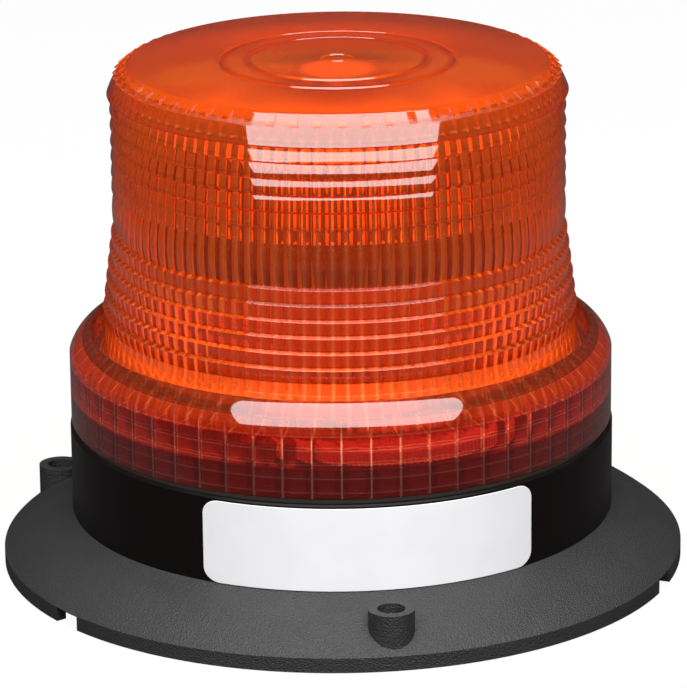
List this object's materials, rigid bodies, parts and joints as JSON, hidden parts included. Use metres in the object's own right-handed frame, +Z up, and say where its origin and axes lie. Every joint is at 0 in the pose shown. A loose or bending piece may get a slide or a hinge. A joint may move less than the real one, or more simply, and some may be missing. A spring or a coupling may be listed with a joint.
{
  "type": "rotating beacon",
  "caption": "Bolt-down warning beacon: grained flange, round black base, bayonet amber lens with ring prisms, fixed lamp and a motor-driven turning mirror.",
  "frame": {"origin": "centre of the plane that the flange stands on", "axes": "+Z up along the beacon's axis; the bare label faces -Y"},
  "size_m": [0.166, 0.166, 0.1242],
  "materials": {
    "flange_plastic": "coarse spark-eroded grain, dark grey",
    "housing_plastic": "smooth moulded, black",
    "label_film": "bare white label film",
    "black_rubber": "soft black",
    "amber_lens": "clear amber-orange moulded lens",
    "zinc_steel": "zinc plated",
    "motor_steel": "drawn and plated can",
    "dark_plastic": "dark moulded plastic",
    "brass": "turned",
    "gear_plastic": "natural moulded gear plastic",
    "washer_fibre": "red-brown fibre",
    "mirror_metal": "vacuum-metallised",
    "plated_brass": "nickel plated",
    "board_laminate": "green laminate",
    "led_phosphor": "yellow encapsulant",
    "terminal_plastic": "green moulded",
    "capacitor_sleeve": "dark sleeve",
    "ferrite": "dark ferrite with winding"
  },
  "bodies": {
    "housing": {"mount_flange": "flange_plastic", "base_housing": "housing_plastic", "id_label": "label_film", "lens_seal": "black_rubber", "cable_grommet": "black_rubber", "chassis_plate": "zinc_steel", "motor_case": "motor_steel", "motor_end_cap": "dark_plastic", "idler_pin": "zinc_steel", "idler_clip": "zinc_steel", "lamp_post": "zinc_steel", "thrust_washer": "washer_fibre", "retaining_clip": "zinc_steel", "lamp_holder": "dark_plastic", "lamp_contacts": "brass", "lamp_cap": "plated_brass", "lamp_collar": "dark_plastic", "led_tower": "board_laminate", "led_chips": "led_phosphor", "driver_board": "board_laminate", "terminal_block": "terminal_plastic", "board_transistor": "dark_plastic", "board_capacitors": "capacitor_sleeve", "board_choke": "ferrite", "chassis_screws": "zinc_steel", "post_screws": "zinc_steel", "motor_screws": "zinc_steel", "board_screws": "zinc_steel"},
    "lens": {"lens_dome": "amber_lens"},
    "rotator": {"turntable_gear": "gear_plastic", "turntable_bush": "brass", "reflector": "mirror_metal", "reflector_screws": "zinc_steel"},
    "idler": {"idler_gear": "gear_plastic"},
    "motor_rotor": {"motor_shaft": "zinc_steel", "motor_pinion": "brass"}
  },
  "joints": [
    {"name": "rotator_spin", "type": "hinge", "parent": "housing", "child": "rotator", "pos_m": [0, 0, 0.05], "axis": [0, 0, 1], "continuous": true},
    {"name": "idler_spin", "type": "hinge", "parent": "housing", "child": "idler", "pos_m": [0.00971, -0.03217, 0.045], "axis": [0, 0, 1], "continuous": true},
    {"name": "motor_spin", "type": "hinge", "parent": "housing", "child": "motor_rotor", "pos_m": [-0.01367, -0.03759, 0.043], "axis": [0, 0, 1], "continuous": true},
    {"name": "lens_twist", "type": "hinge", "parent": "housing", "child": "lens", "pos_m": [0, 0, 0.0357], "axis": [0, 0, 1], "range_deg": [0, 30]}
  ],
  "couplings": [
    {"joint": "idler_spin", "follows": "rotator_spin", "ratio": -6},
    {"joint": "motor_spin", "follows": "rotator_spin", "ratio": 24}
  ]
}
